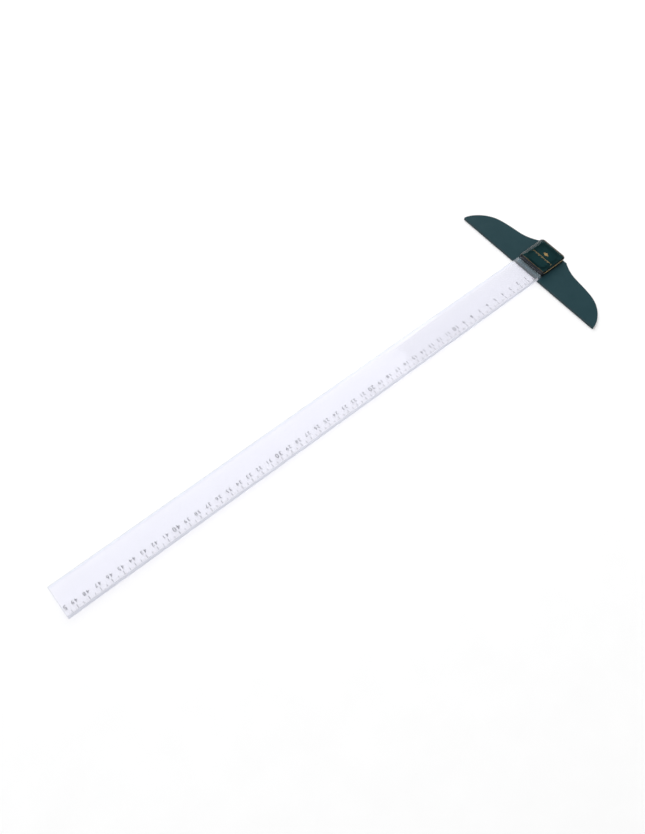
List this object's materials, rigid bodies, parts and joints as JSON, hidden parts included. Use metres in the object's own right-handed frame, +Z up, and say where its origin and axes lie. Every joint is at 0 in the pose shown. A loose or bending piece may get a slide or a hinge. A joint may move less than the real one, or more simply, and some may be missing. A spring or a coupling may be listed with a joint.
{
  "type": "t square",
  "caption": "Drafting T square: clear bevelled blade with a 50 cm scale fixed across a winged dark head, with a capped badge over the joint.",
  "frame": {"origin": "on the head's working edge, at the middle of the blade's width and level with the head's top face", "axes": "+X along the blade from the head to its free end, +Y to the scaled edge, +Z up out of the blade's top face"},
  "size_m": [0.5365, 0.1658, 0.0097],
  "materials": {
    "head_plastic": "satin dark green",
    "blade_acrylic": "clear, polished",
    "socket_plastic": "satin black",
    "label_print": "printed dark green",
    "cap_acrylic": "clear, polished",
    "screw_steel": "plated"
  },
  "bodies": {
    "root": {"head": "head_plastic", "blade": "blade_acrylic", "blade_socket": "socket_plastic", "label": "label_print", "cap": "cap_acrylic", "fixing_screw_1": "screw_steel", "fixing_screw_2": "screw_steel", "fixing_screw_3": "screw_steel", "fixing_screw_4": "screw_steel"}
  },
  "joints": []
}
